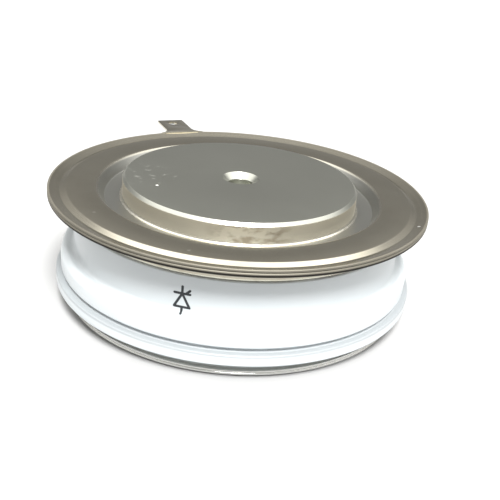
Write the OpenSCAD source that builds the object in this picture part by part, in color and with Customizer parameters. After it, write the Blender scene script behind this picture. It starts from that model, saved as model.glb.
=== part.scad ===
// Disc thyristor: a sealed ceramic capsule with two copper poles, clamped between coolers in use.
// The anode face lies on z = 0, the capsule's axis is +Z and the cathode face is on top.

/* [Capsule] */
// Diameter of the welded rim on the cathode side
rim_d = 45; // [43:0.5:50]
// Height from the anode face to the cathode face
height = 14.5; // [13:0.1:17]
// Height of the cathode face above the rim
cathode_rise = 1.05; // [0.8:0.05:1.6]
// Height of the anode flange above the anode face
anode_rise = 0.2; // [0.1:0.05:0.5]

/* [Poles] */
// Diameter of both copper poles
pole_d = 28; // [26:0.2:29]
// Chamfer at the edge of each contact face
pole_edge = 0.35; // [0.1:0.05:0.6]
// Width of the inner shoulder that the flange is brazed to
shoulder_w = 0.9; // [0.5:0.1:1.3]
// Height of the cathode pole
cathode_pole_h = 5.9; // [5.7:0.1:6.6]
// Diameter of the land that presses on the cathode disc
land_d = 25.6; // [22:0.2:26]
// Height of the land
land_h = 0.6; // [0.3:0.1:1]
// Diameter of the centring hole in each face
centring_d = 3; // [2.6:0.1:3.6]
// Depth of the centring holes
centring_depth = 2; // [1.4:0.1:2.4]
// Width of the countersink around each centring hole
countersink = 0.7; // [0.3:0.05:0.9]

/* [Flanges] */
// Thickness of the flanges and the anode ring
sheet = 0.3; // [0.2:0.05:0.4]
// Inner radius of the bends in the sheets
bend = 0.2; // [0.1:0.05:0.3]
// Width of the seam track along the rim
seam_w = 1.35; // [1:0.05:1.8]
// Depth of the track's inner edge below the rim
seam_dip = 0.42; // [0.2:0.02:0.5]
// Width of the bead that rises from the track to the annulus
bead_w = 0.75; // [0.5:0.05:1.2]
// Depth of the annulus below the rim
annulus_dip = 0.15; // [0:0.05:0.2]
// Width of the trough around each pole
trough_w = 2.9; // [2.2:0.1:3.4]
// Depth of the trough from the annulus
trough_dip = 1.3; // [0.8:0.05:1.6]
// Width of the trough's sloping wall
trough_wall = 0.8; // [0.5:0.05:1.2]
// Gap between the flange's hole and the pole
braze_gap = 0.05; // [0.02:0.01:0.1]
// Size of the braze fillet at the foot of each pole
braze = 0.3; // [0.2:0.05:0.5]

/* [Weld rings] */
// Thickness of the weld ring under the rim
weld_sheet = 0.5; // [0.3:0.05:0.6]
// Outer diameter of the necks that carry both flanges
neck_d = 39.8; // [38.8:0.2:41]
// How far the anode flange stands out beyond its neck
anode_lip = 0.6; // [0.5:0.05:1]
// Width of the foot that is brazed to the ceramic
foot_w = 2.4; // [1.6:0.1:2.8]

/* [Ceramic] */
// Bore of the ceramic ring
bore_d = 33.6; // [32.8:0.2:34.4]
// Depth of the ceramic's upper face below the rim
ceramic_drop = 2.85; // [2.6:0.05:3.2]
// Height of the ceramic's lower face above the anode face
ceramic_lift = 2; // [1.8:0.1:2.6]
// Diameter of the smooth upper wall
wall_d = 39.2; // [38.4:0.2:40]
// Diameter of the upper rib
upper_rib_d = 42.2; // [41.4:0.2:44]
// Height of the upper rib
upper_rib_h = 2.45; // [2:0.05:2.8]
// Diameter of the lower rib
lower_rib_d = 43.4; // [42:0.2:45]
// Height of the lower rib
lower_rib_h = 1.3; // [1:0.05:1.8]
// Height of the groove between the ribs
groove_h = 0.45; // [0.3:0.05:0.7]
// Diameter of the groove's floor
groove_d = 40.8; // [39.8:0.2:41.2]
// Rounding at the upper edge of the upper rib
rib_crown = 0.9; // [0.5:0.1:1.2]
// Rounding at the other edges of the ribs
rib_edge = 0.2; // [0.1:0.05:0.3]
// Rounding between the wall and the upper rib
wall_root = 0.5; // [0.2:0.1:0.8]

/* [Cathode ear] */
// Direction of the auxiliary cathode ear around the axis
ear_angle = 115; // [110:1:140]
// Width of the ear
ear_w = 3.8; // [3:0.1:5]
// Length of the ear beyond the rim
ear_len = 5.8; // [4.5:0.1:7]
// Rounding of the ear's corners
ear_corner = 0.3; // [0.1:0.1:0.8]
// Radius of the fillets where the ear meets the rim
ear_root = 1.2; // [0.6:0.1:2]
// Diameter of the hole in the ear
ear_hole_d = 1.3; // [1:0.1:1.6]
// Distance from the ear's tip to the hole
ear_hole_inset = 1.6; // [1.2:0.1:2]

/* [Inner stack] */
// Diameter of the anode disc and the wafer
disc_d = 30; // [29.4:0.2:30.4]
// Thickness of the molybdenum disc under the wafer
anode_disc_t = 1.6; // [1.2:0.1:2]
// Thickness of the silicon wafer
wafer_t = 0.4; // [0.3:0.05:0.6]
// Thickness of the disc between the wafer and the cathode pole
cathode_disc_t = 0.6; // [0.5:0.1:0.8]
// Thickness of the rubber seal around the wafer's edge
seal_t = 0.5; // [0.3:0.05:0.6]
// Gap between the cathode disc and the seal on the wafer's face
seal_gap = 0.8; // [0.5:0.1:1.2]
// Gap between the centring ring and what it centres
ring_gap = 0.1; // [0.05:0.05:0.2]
// Height of the centring ring's lip below the anode disc
ring_lip = 0.6; // [0.4:0.1:1]

/* [Gate contact] */
// Outer diameter of the insulating cup
cup_d = 5.8; // [5.4:0.1:6.2]
// Gap between the cup and the poles
cup_gap = 0.1; // [0.05:0.05:0.2]
// Wall of the cup
cup_wall = 1; // [0.8:0.1:1.2]
// Thickness of the cup's roof
cup_roof = 0.5; // [0.4:0.05:0.6]
// Copper left between the cup and the centring hole
pole_web = 1; // [0.8:0.1:1.2]
// Diameter of the contact pin's shaft
pin_d = 1.4; // [1:0.1:1.6]
// Diameter of the contact pin's head
head_d = 3.2; // [3:0.1:3.4]
// Thickness of the contact pin's head
head_t = 0.6; // [0.55:0.05:0.7]
// Thickness of the guide at the cup's mouth
guide_t = 0.7; // [0.5:0.05:0.8]
// Gap between the guide and the pin's shaft
guide_gap = 0.05; // [0.02:0.01:0.1]
// Diameter of the spring's wire
spring_wire_d = 0.3; // [0.2:0.05:0.35]
// Middle diameter of the spring's coils
spring_d = 2.5; // [2.2:0.1:2.7]
// Number of coils of the spring
spring_turns = 3; // [2:0.5:4]
// Diameter of the gate lead
lead_d = 0.5; // [0.3:0.05:0.5]
// Depth that the lead enters the pin's head
lead_entry = 0.8; // [0.5:0.1:1.2]
// Outer diameter of the lead's insulating sleeve
sleeve_d = 1.3; // [1:0.1:1.4]
// Gap between the sleeve and its slot in the cathode pole
slot_gap = 0.1; // [0.05:0.05:0.2]

/* [Gate terminal] */
// Direction of the gate terminal around the axis
gate_angle = 90; // [60:1:92]
// Outer diameter of the gate tube
tube_d = 1.8; // [1.6:0.1:2]
// Wall of the gate tube
tube_wall = 0.25; // [0.2:0.05:0.3]
// How far the tube stands into the capsule
tube_entry = 0.3; // [0.1:0.1:0.6]
// How far the tube stands out of the ceramic wall
tube_out = 3; // [2.6:0.1:4]
// Depth of the slit in the tube's end that holds the tab
slit = 1.8; // [1.2:0.1:2.2]
// Width of the gate tab
tab_w = 2.8; // [2.4:0.1:3.4]
// Thickness of the gate tab
tab_t = 0.5; // [0.4:0.05:0.6]
// Length of the gate tab beyond the tube
tab_len = 5; // [4:0.1:6]
// Diameter of the hole in the gate tab
tab_hole_d = 1.3; // [1:0.1:1.5]

/* [Hidden] */
$fn = 96;

// Steps along each bend of a sheet and each braze fillet
bend_steps = 6;
// Steps along one coil of the spring, and sides of its wire
coil_steps = 20;
wire_sides = 8;
// How far cuts run past the faces that they open
past = 1;

// Radii from the axis
rim_r = rim_d / 2;
pole_r = pole_d / 2;
shoulder_r = pole_r + shoulder_w;
trough_r = pole_r + trough_w;
neck_r = neck_d / 2;
anode_rim_r = neck_r + anode_lip;
foot_r = neck_r - foot_w;
bore_r = bore_d / 2;
wall_r = wall_d / 2;
disc_r = disc_d / 2;
seal_r = disc_r + seal_t;
cup_r = cup_d / 2;
cup_hole_r = cup_r + cup_gap;
cup_bore_r = cup_r - cup_wall;

// Heights above the anode face
rim_z = height - cathode_rise;
annulus_z = rim_z - annulus_dip;
trough_z = annulus_z - trough_dip;
ceramic_top = rim_z - ceramic_drop;
cathode_z = height - cathode_pole_h;
wafer_top = cathode_z - cathode_disc_t;
wafer_z = wafer_top - wafer_t;
disc_z = wafer_z - anode_disc_t;
roof_z = anode_rise + trough_dip;
cup_top = height - centring_depth - pole_web;
spring_top = cup_top - cup_roof;
lead_z = cathode_z + sleeve_d / 2;
head_top = lead_z + head_t / 2;

// Reach of the gate terminal from the axis
tube_in = bore_r - tube_entry;
tube_end = wall_r + tube_out;

function unit(v) = v / norm(v);
function left(v) = [-v[1], v[0]];
function turned(v, a) = [v[0] * cos(a) - v[1] * sin(a), v[0] * sin(a) + v[1] * cos(a)];
function along(p, i) = unit(p[i + 1] - p[i]);
function reversed(p) = [for (i = [len(p) - 1:-1:0]) p[i]];

// The path moved by t to its left, with its two ends moved straight up or down
function moved(p, t) = [
    for (i = [0:len(p) - 1])
        i == 0 ? p[i] + [0, t / along(p, 0)[0]] :
        i == len(p) - 1 ? p[i] + [0, t / along(p, i - 1)[0]] :
        let (a = left(along(p, i - 1)), b = left(along(p, i))) p[i] + (a + b) * t / (1 + a * b)
];

// The path with an arc at each corner, of one radius for left turns and one for right turns
function bent(p, left_r, right_r) = [
    p[0],
    for (i = [1:len(p) - 2])
        let (
            a = along(p, i - 1),
            b = along(p, i),
            side = sign(cross(a, b)),
            angle = acos(a * b),
            r = side > 0 ? left_r : right_r,
            spoke = side * r * left(a),
            centre = p[i] - a * r * tan(angle / 2) + spoke
        )
        for (k = [0:bend_steps]) centre + turned(-spoke, side * angle * k / bend_steps),
    p[len(p) - 1]
];

// Turned sheet whose upper or outer face follows the path, with its thickness to the left of it
module turned_sheet(path, thick = sheet) {
    outer = bent(path, bend + thick, bend);
    inner = bent(moved(path, thick), bend, bend + thick);
    rotate_extrude() polygon(concat(outer, reversed(inner)));
}

// Half section of a rib from radius r0 to r1, with its lower and upper edges rounded
module rib(r0, r1, z0, z1, low_edge, top_edge) {
    translate([r0, z0 + low_edge]) square([r1 - r0, z1 - z0 - low_edge - top_edge]);
    translate([r0, z0]) square([r1 - r0 - low_edge, z1 - z0]);
    translate([r1 - low_edge, z0 + low_edge]) circle(low_edge);
    intersection() {
        translate([r0, z1 - 2 * top_edge]) square([r1 - r0, 2 * top_edge]);
        union() {
            translate([r0, z1 - top_edge]) square([r1 - r0 - top_edge, top_edge]);
            translate([r1 - top_edge, z1 - top_edge]) circle(top_edge);
        }
    }
}

// Tube or rod that lies along the gate's direction, from one distance to another
module radial_rod(r, from, to) {
    rotate([0, 0, gate_angle])
        translate([from, 0, lead_z])
            rotate([0, 90, 0]) cylinder(r = r, h = to - from);
}

// Centring hole that opens upwards at z = 0
module centring_hole() {
    translate([0, 0, -centring_depth]) cylinder(d = centring_d, h = centring_depth + past);
    translate([0, 0, -countersink])
        cylinder(r1 = centring_d / 2, r2 = centring_d / 2 + countersink, h = countersink);
}

// Copper pole with its contact face at the top, h high, with a shoulder up to shoulder_top
module pole(h, shoulder_top, foot_land_r, foot_land_h) {
    difference() {
        union() {
            translate([0, 0, foot_land_h]) cylinder(r = pole_r, h = h - pole_edge - foot_land_h);
            translate([0, 0, h - pole_edge]) cylinder(r1 = pole_r, r2 = pole_r - pole_edge, h = pole_edge);
            cylinder(r = foot_land_r, h = shoulder_top);
            translate([0, 0, foot_land_h]) cylinder(r = shoulder_r, h = shoulder_top - foot_land_h);
        }
        translate([0, 0, h]) centring_hole();
    }
}

// Concave braze fillet on top of z = 0 around a pole
module braze_fillet() {
    hollow = [
        for (k = [0:bend_steps])
            let (a = 90 * k / bend_steps) braze * [1 - sin(a), 1 - cos(a)]
    ];
    rotate_extrude() translate([pole_r, 0]) polygon(concat([[0, 0]], hollow));
}

// Flat end with rounded corners: from x = 0 to length, with a hole near its end
module lug(length, width, corner, hole_d, hole_inset) {
    difference() {
        union() {
            translate([0, -width / 2]) square([length - corner, width]);
            translate([0, corner - width / 2]) square([length, width - 2 * corner]);
            for (side = [-1, 1]) translate([length - corner, side * (width / 2 - corner)]) circle(corner);
        }
        translate([length - hole_inset, 0]) circle(d = hole_d);
    }
}

// White ring with a smooth wall above and two ribs below, drilled for the gate tube
module ceramic_ring() {
    groove_z = ceramic_lift + lower_rib_h;
    upper_rib_z = groove_z + groove_h;
    upper_rib_top = upper_rib_z + upper_rib_h;
    color("white") difference() {
        rotate_extrude() {
            translate([bore_r, ceramic_lift]) square([wall_r - bore_r, ceramic_top - ceramic_lift]);
            translate([bore_r, groove_z - rib_edge])
                square([groove_d / 2 - bore_r, groove_h + 2 * rib_edge]);
            rib(bore_r, lower_rib_d / 2, ceramic_lift, groove_z, rib_edge, rib_edge);
            rib(bore_r, upper_rib_d / 2, upper_rib_z, upper_rib_top, rib_edge, rib_crown);
            translate([wall_r, upper_rib_top])
                difference() {
                    square(wall_root);
                    translate([wall_root, wall_root]) circle(wall_root);
                }
        }
        radial_rod(tube_d / 2, tube_in, wall_r + past);
    }
}

// Upper pole, with a bore from below for the gate cup and a slot for the gate lead
module cathode_pole() {
    slot_w = sleeve_d + 2 * slot_gap;
    color("darkkhaki") difference() {
        translate([0, 0, cathode_z])
            pole(cathode_pole_h, trough_z - sheet - cathode_z, land_d / 2, land_h);
        translate([0, 0, cathode_z - past]) cylinder(r = cup_hole_r, h = cup_top - cathode_z + past);
        rotate([0, 0, gate_angle])
            translate([0, -slot_w / 2, cathode_z - past])
                cube([shoulder_r + past, slot_w, sleeve_d + slot_gap + past]);
    }
}

// Lower pole, upside down, with its contact face on z = 0
module anode_pole() {
    color("darkkhaki")
        translate([0, 0, disc_z])
            mirror([0, 0, 1]) pole(disc_z, disc_z - roof_z - sheet, shoulder_r, 0);
}

// Upper sheet: seam track, bead, annulus and trough in one pressing, with the auxiliary cathode ear
module cathode_flange() {
    root_x = sqrt(pow(rim_r + ear_root, 2) - pow(ear_w / 2 + ear_root, 2));
    root_w = ear_w + 2 * ear_root;
    color("tan") {
        turned_sheet([
            [rim_r, rim_z],
            [rim_r - seam_w, rim_z - seam_dip],
            [rim_r - seam_w - bead_w, annulus_z],
            [trough_r, annulus_z],
            [trough_r - trough_wall, trough_z],
            [pole_r + braze_gap, trough_z]
        ]);
        rotate([0, 0, ear_angle]) translate([0, 0, rim_z - sheet]) linear_extrude(sheet) difference() {
            union() {
                lug(rim_r + ear_len, ear_w, ear_corner, ear_hole_d, ear_hole_inset);
                difference() {
                    translate([0, -root_w / 2]) square([root_x, root_w]);
                    for (side = [-1, 1]) translate([root_x, side * root_w / 2]) circle(ear_root);
                }
            }
            circle(rim_r - sheet / 2);
        }
    }
}

// Lower sheet of the rim: it lies along the track, turns down into a neck and stands on the ceramic
module weld_ring() {
    slope = seam_dip / seam_w;
    outer_z = rim_z - sheet * sqrt(1 + slope * slope);
    inner_r = neck_r - weld_sheet;
    foot_top = ceramic_top + weld_sheet;
    color("tan") turned_sheet([
        [rim_r, outer_z],
        [rim_r - seam_w, outer_z - seam_dip],
        [inner_r, outer_z - seam_dip],
        [inner_r, foot_top],
        [foot_r, foot_top]
    ], weld_sheet);
}

// Lower sheet of the capsule, with a trough around the anode pole like the one on top
module anode_flange() {
    color("tan") mirror([0, 0, 1]) turned_sheet([
        [anode_rim_r, -anode_rise],
        [trough_r, -anode_rise],
        [trough_r - trough_wall, -roof_z],
        [pole_r + braze_gap, -roof_z]
    ]);
}

// Neck between the anode flange and the ceramic
module anode_ring() {
    rim_top = anode_rise + 2 * sheet;
    color("tan") turned_sheet([
        [anode_rim_r, rim_top],
        [neck_r, rim_top],
        [neck_r, ceramic_lift],
        [foot_r, ceramic_lift]
    ]);
}

// Braze fillet between the cathode pole and its flange
module cathode_braze() {
    color("gainsboro") translate([0, 0, trough_z]) braze_fillet();
}

// Braze fillet between the anode pole and its flange
module anode_braze() {
    color("gainsboro") translate([0, 0, roof_z]) mirror([0, 0, 1]) braze_fillet();
}

// Molybdenum disc that carries the wafer on the anode pole
module anode_disc() {
    color("slategray") translate([0, 0, disc_z]) cylinder(r = disc_r, h = anode_disc_t);
}

// Silicon wafer
module wafer() {
    color("dimgray") translate([0, 0, wafer_z]) cylinder(r = disc_r, h = wafer_t);
}

// Rubber seal around the edge of the wafer and its disc
module edge_seal() {
    color("firebrick") rotate_extrude() {
        translate([disc_r, disc_z]) square([seal_t, wafer_top - disc_z]);
        translate([land_d / 2 + seal_gap, wafer_top]) square([seal_r - land_d / 2 - seal_gap, seal_t]);
    }
}

// Disc between the wafer and the cathode pole, open in the middle for the gate
module cathode_disc() {
    color("lightsteelblue") translate([0, 0, wafer_top]) difference() {
        cylinder(d = land_d, h = cathode_disc_t);
        translate([0, 0, -past]) cylinder(r = cup_hole_r, h = cathode_disc_t + 2 * past);
    }
}

// Plastic ring that centres the sealed wafer in the ceramic's bore
module centring_ring() {
    color("ivory") rotate_extrude() {
        translate([seal_r + ring_gap, disc_z]) square([bore_r - seal_r - ring_gap, wafer_top - disc_z]);
        translate([shoulder_r + ring_gap, disc_z - ring_lip])
            square([bore_r - shoulder_r - ring_gap, ring_lip]);
    }
}

// Insulating cup in the cathode pole that holds the gate contact
module gate_cup() {
    notch_top = lead_z + lead_d / 2 - wafer_top;
    color("ivory") difference() {
        translate([0, 0, wafer_top]) cylinder(r = cup_r, h = cup_top - wafer_top);
        translate([0, 0, wafer_top - past]) cylinder(r = cup_bore_r, h = spring_top - wafer_top + past);
        rotate([0, 0, gate_angle])
            translate([0, -lead_d / 2, wafer_top - past]) cube([cup_r + past, lead_d, notch_top + past]);
    }
}

// Ring at the mouth of the cup that guides the pin's shaft
module gate_guide() {
    color("ivory") translate([0, 0, wafer_top]) difference() {
        cylinder(r = cup_bore_r, h = guide_t);
        translate([0, 0, -past]) cylinder(r = pin_d / 2 + guide_gap, h = guide_t + 2 * past);
    }
}

// Contact pin that presses on the middle of the wafer, with a hole in its head for the lead
module gate_pin() {
    color("silver") difference() {
        union() {
            translate([0, 0, wafer_top]) cylinder(d = pin_d, h = head_top - wafer_top);
            translate([0, 0, head_top - head_t]) cylinder(d = head_d, h = head_t);
        }
        radial_rod(lead_d / 2, head_d / 2 - lead_entry, head_d / 2 + past);
    }
}

// Coil spring between the pin's head and the cup, swept as a round wire along a helix
module gate_spring() {
    low = head_top + spring_wire_d / 2;
    high = spring_top - spring_wire_d / 2;
    rings = spring_turns * coil_steps;
    points = [
        for (i = [0:rings], k = [0:wire_sides - 1])
            let (
                a = 360 * i / coil_steps,
                b = 360 * k / wire_sides,
                r = spring_d / 2 + spring_wire_d / 2 * cos(b)
            )
            [r * cos(a), r * sin(a), low + (high - low) * i / rings + spring_wire_d / 2 * sin(b)]
    ];
    sides = [
        for (i = [0:rings - 1], k = [0:wire_sides - 1])
            let (m = i * wire_sides, next = (k + 1) % wire_sides)
            [m + k, m + next, m + next + wire_sides, m + k + wire_sides]
    ];
    first = [for (k = [wire_sides - 1:-1:0]) k];
    last = [for (k = [0:wire_sides - 1]) rings * wire_sides + k];
    color("silver") polyhedron(points, concat(sides, [first, last]));
}

// Wire from the pin's head to the gate tab
module gate_lead() {
    color("silver") radial_rod(lead_d / 2, head_d / 2 - lead_entry, tube_end - slit);
}

// Insulating sleeve on the lead, from the cup to the gate tube
module lead_sleeve() {
    color("ivory") difference() {
        radial_rod(sleeve_d / 2, cup_r, tube_in);
        radial_rod(lead_d / 2, cup_r - past, tube_in + past);
    }
}

// Metal tube brazed through the ceramic wall, slit at its end for the tab
module gate_tube() {
    color("tan") difference() {
        radial_rod(tube_d / 2, tube_in, tube_end);
        radial_rod(tube_d / 2 - tube_wall, tube_in - past, tube_end + past);
        rotate([0, 0, gate_angle])
            translate([tube_end - slit, -tube_d, lead_z - tab_t / 2])
                cube([slit + past, 2 * tube_d, tab_t]);
    }
}

// Flat gate terminal with a hole, held in the slit of the tube
module gate_tab() {
    color("tan") rotate([0, 0, gate_angle]) translate([tube_end - slit, 0, lead_z - tab_t / 2])
        linear_extrude(tab_t)
            lug(tab_len + slit, tab_w, ear_corner, tab_hole_d, ear_hole_inset);
}

ceramic_ring();
cathode_pole();
anode_pole();
cathode_flange();
weld_ring();
anode_flange();
anode_ring();
cathode_braze();
anode_braze();
anode_disc();
wafer();
edge_seal();
cathode_disc();
centring_ring();
gate_cup();
gate_guide();
gate_pin();
gate_spring();
gate_lead();
lead_sleeve();
gate_tube();
gate_tab();
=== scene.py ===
import math
from functools import partial

import bmesh
import bpy
from bpy.props import FloatProperty, FloatVectorProperty, IntProperty, PointerProperty
from mathutils import Matrix, Vector


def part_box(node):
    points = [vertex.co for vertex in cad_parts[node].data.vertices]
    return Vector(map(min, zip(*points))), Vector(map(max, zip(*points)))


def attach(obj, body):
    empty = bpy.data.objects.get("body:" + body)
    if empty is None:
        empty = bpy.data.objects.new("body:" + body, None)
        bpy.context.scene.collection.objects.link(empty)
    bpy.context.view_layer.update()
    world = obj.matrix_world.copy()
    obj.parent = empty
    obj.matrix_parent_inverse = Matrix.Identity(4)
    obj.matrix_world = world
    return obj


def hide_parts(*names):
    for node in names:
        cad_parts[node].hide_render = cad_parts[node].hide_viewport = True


bl_info = {
    "name": "Disc thyristor",
    "version": (1, 0, 0),
    "blender": (4, 5, 0),
    "location": "3D View > Sidebar > Capsule",
    "description": "Dresses the solids of a ceramic disc capsule and sets it on a studio floor",
    "category": "Object",
}

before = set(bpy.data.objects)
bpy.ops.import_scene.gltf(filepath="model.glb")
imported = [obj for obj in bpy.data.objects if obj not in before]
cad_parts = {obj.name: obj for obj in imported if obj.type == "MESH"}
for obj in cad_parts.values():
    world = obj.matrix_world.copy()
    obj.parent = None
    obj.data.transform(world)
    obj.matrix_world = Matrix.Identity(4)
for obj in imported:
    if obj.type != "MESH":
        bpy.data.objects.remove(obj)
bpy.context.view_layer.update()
MM = 0.001
TURN = 2 * math.pi
# Points closer than this are joined into one
JOIN = 0.0005 * MM
# Edges between faces that meet at more than this angle stay sharp
SHARP = math.radians(32)
# Degrees of a rounded corner for each of its segments, and the fewest segments
CORNER_STEP, CORNER_LEAST = 9, 3
# Angle in radians from which an edge of a lug belongs to its rim
RIM_ANGLE = 1.0
# Segments of a lug's hole and of a printed stroke's round ends, and cuts along a stroke
HOLE_STEPS, STROKE_STEPS, STROKE_CUTS = 40, 16, 7
# Width of the camera's sensor in millimetres
SENSOR = 36.0
# Brightness of the room along its arch, from the horizon upwards, as parts of the brightest
ROOM_SHADES = ((0.0, 0.145), (0.25, 0.12), (0.42, 0.096), (0.60, 0.17), (0.79, 0.225), (0.84, 0.55), (0.90, 1.0))


def top_of(node):
    """Height of a solid's highest point."""
    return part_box(node)[1][2]


def foot_of(node):
    """Height of a solid's lowest point."""
    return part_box(node)[0][2]


def reach_of(node):
    """Largest radius of a turned solid, along +X."""
    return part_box(node)[1][0]


def linear(text):
    """Linear colour of an sRGB hex value."""
    parts = [int(text[i:i + 2], 16) / 255 for i in (1, 3, 5)]
    return [p / 12.92 if p <= 0.04045 else ((p + 0.055) / 1.055) ** 2.4 for p in parts] + [1.0]


def length(name, description, millimetres):
    """A length property with its default in millimetres."""
    return FloatProperty(name=name, description=description, default=millimetres * MM, unit="LENGTH", precision=5)


def turn(name, description, degrees):
    """An angle property with its default in degrees."""
    return FloatProperty(name=name, description=description, default=math.radians(degrees), subtype="ANGLE")


def colour(name, description, text):
    """A colour property with its default as an sRGB hex value."""
    return FloatVectorProperty(name=name, description=description, default=linear(text), size=4,
                               subtype="COLOR", min=0.0, max=1.0)


class CapsuleSizes(bpy.types.PropertyGroup):
    """Sizes of the pieces that are seen, the same as those of the solids"""

    rim_r: length("Rim radius", "Radius of the welded rim", reach_of("weld_ring") / MM)
    rim_z: length("Rim height", "Height of the rim's upper edge", top_of("cathode_flange") / MM)
    sheet: length("Sheet", "Thickness of the flanges and the anode ring", 0.3)
    weld_sheet: length("Weld ring", "Thickness of the weld ring under the rim", 0.5)
    bend: length("Bend", "Inner radius of the bends in the sheets", 0.2)
    sheet_edge: length("Sheet edge", "Rounding of the sheets' cut edges", 0.12)
    weld_edge: length("Weld edge", "Rounding of the weld ring's cut edge", 0.2)
    fine_edge: length("Fine edge", "Small rounding of the machined edges", 0.08)
    seam_w: length("Track width", "Width of the seam track along the rim", 1.35)
    seam_dip: length("Track depth", "Depth of the track's inner edge below the rim", 0.42)
    bead_w: length("Bead width", "Width of the bead between the track and the annulus", 0.75)
    annulus_dip: length("Annulus depth", "Depth of the annulus below the rim", 0.15)
    trough_w: length("Trough width", "Width of the trough around each pole", 2.9)
    trough_dip: length("Trough depth", "Depth of the trough from the annulus", 1.3)
    trough_wall: length("Trough wall", "Width of the trough's sloping wall", 0.8)
    neck_r: length("Neck radius", "Outer radius of the necks", 19.9)
    foot_w: length("Foot width", "Width of the foot on the ceramic", 2.4)
    anode_rim_r: length("Anode rim radius", "Radius of the anode flange", reach_of("anode_flange") / MM)
    anode_rise: length("Anode rise", "Height of the anode flange above the anode face",
                       foot_of("anode_flange") / MM)
    pole_r: length("Pole radius", "Radius of both poles", 14.0)
    pole_edge: length("Pole edge", "Chamfer of the contact faces' edges", 0.35)
    shoulder_r: length("Shoulder radius", "Radius of the poles' inner shoulders", reach_of("cathode_pole") / MM)
    land_r: length("Land radius", "Radius of the land on the cathode disc", reach_of("cathode_disc") / MM)
    land_h: length("Land height", "Height of that land", 0.6)
    gate_bore_r: length("Gate bore", "Radius of the bore for the gate cup", 3.0)
    centring_r: length("Centring hole", "Radius of the centring holes", 1.5)
    centring_depth: length("Centring depth", "Depth of the centring holes", 2.0)
    countersink: length("Countersink", "Width of the countersink", 0.7)
    braze: length("Braze", "Size of the braze fillets", 0.3)
    bore_r: length("Ceramic bore", "Radius of the ceramic's bore", 16.8)
    wall_r: length("Ceramic wall", "Radius of the ceramic's smooth wall", 19.6)
    lower_rib_r: length("Lower rib", "Radius of the lower rib", reach_of("ceramic_ring") / MM)
    lower_rib_h: length("Lower rib height", "Height of the lower rib", 1.3)
    groove_r: length("Groove radius", "Radius of the groove's floor", 20.4)
    groove_h: length("Groove height", "Height of the groove between the ribs", 0.45)
    upper_rib_r: length("Upper rib", "Radius of the upper rib", 21.1)
    upper_rib_h: length("Upper rib height", "Height of the upper rib", 2.45)
    rib_crown: length("Rib crown", "Rounding of the upper rib's upper edge", 0.9)
    rib_edge: length("Rib edge", "Rounding of the ribs' other edges", 0.2)
    wall_root: length("Wall root", "Rounding between the wall and the upper rib", 0.5)
    ear_angle: turn("Ear direction", "Direction of the cathode ear", 115)
    ear_w: length("Ear width", "Width of the cathode ear", 3.8)
    ear_len: length("Ear length", "Length of the ear beyond the rim", 5.8)
    ear_corner: length("Ear corner", "Rounding of the ear's corners", 0.3)
    ear_root: length("Ear root", "Radius of the fillets where the ear meets the rim", 1.2)
    ear_hole_r: length("Ear hole", "Radius of the hole in the ear", 0.65)
    ear_hole_inset: length("Ear hole inset", "Distance from the ear's tip to its hole", 1.6)
    tab_w: length("Tab width", "Width of the gate tab", 2.8)
    tab_hole_r: length("Tab hole", "Radius of the hole in the gate tab", 0.65)
    steps: IntProperty(name="Steps", description="Steps of a full turn", default=288, min=48, max=720)


class PrintSizes(bpy.types.PropertyGroup):
    """Sizes of the circuit symbol printed on the ceramic"""

    direction: turn("Direction", "Direction of the symbol around the axis", -103.2)
    middle_z: length("Height", "Height of the symbol's middle", 7.7)
    stroke: length("Stroke", "Width of the printed strokes", 0.28)
    half_w: length("Half width", "Half of the triangle's width", 0.82)
    half_h: length("Half height", "Half of the triangle's height", 0.77)
    lead: length("Lead", "Length of the symbol's leads", 0.78)
    gate_at: length("Gate start", "Distance of the gate stroke's start from the stem", 0.38)
    gate_run: length("Gate run", "Width and height that the gate stroke covers", 0.42)
    ink: length("Ink", "Thickness of the ink", 0.012)


class WearAndShadeMarks(bpy.types.PropertyGroup):
    """Places and sizes of the marks that the picture shows, and of the painted shade and the painted glint"""

    dust_x: length("Dust across", "Place of the light specks across the contact face", -10.2)
    dust_y: length("Dust along", "Place of the light specks along the contact face", -1.4)
    dust_reach: length("Dust reach", "Radius of the place with light specks", 2.4)
    # Place of the painted glint on the contact face
    glint_x: length("Chip across", "Place of the bright chip across the contact face", -9.3)
    glint_y: length("Chip along", "Place of the bright chip along the contact face", -5.1)
    # Size of the painted glint and of the small light marks on the sheets
    mark_size: length("Chip size", "Radius of the small chips", 0.12)
    smear_turn: turn("Smear direction", "Direction of the fingermarks on the pole's wall", -82)
    smear_z: length("Smear height", "Height of the fingermarks", 13.1)
    smear_reach: length("Smear reach", "Half of the fingermarks' length", 2.6)
    smear_flat: FloatProperty(name="Smear flatness", description="Length of the fingermarks against their height",
                              default=2.0)
    dot_turn: turn("Dot direction", "Direction of the light dot on the track", -19.2)
    dot_r: length("Dot radius", "Distance of the light dot from the axis", 21.7)
    dot_z: length("Dot height", "Height of the light dot", 13.2)
    tick_turn: turn("Tick direction", "Direction of the scratch on the annulus", -102)
    tick_r: length("Tick radius", "Distance of the scratch from the axis", 19.5)
    spot_turn: turn("Spot direction", "Direction of the small spot on the annulus", -142)
    spot_r: length("Spot radius", "Distance of the small spot from the axis", 19.05)
    # Reach and core of the painted shade on the lip below the groove
    lip_shade_reach: length("Film reach", "Distance from the lip's edge at which the dust film ends", 0.4)
    lip_shade_core: length("Film core", "Distance from the lip's edge within which the film is full", 0.1)
    # Heights of the painted shade on the neck's top, under the rim
    neck_shade_low: length("Heat start", "Height above the ceramic at which the neck's dark tint starts", 0.2)
    neck_shade_full: length("Heat full", "Height above the ceramic at which the tint is full", 1.0)
    flux_reach: length("Flux reach", "Height above the ceramic that the brown stains reach", 0.9)


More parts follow.
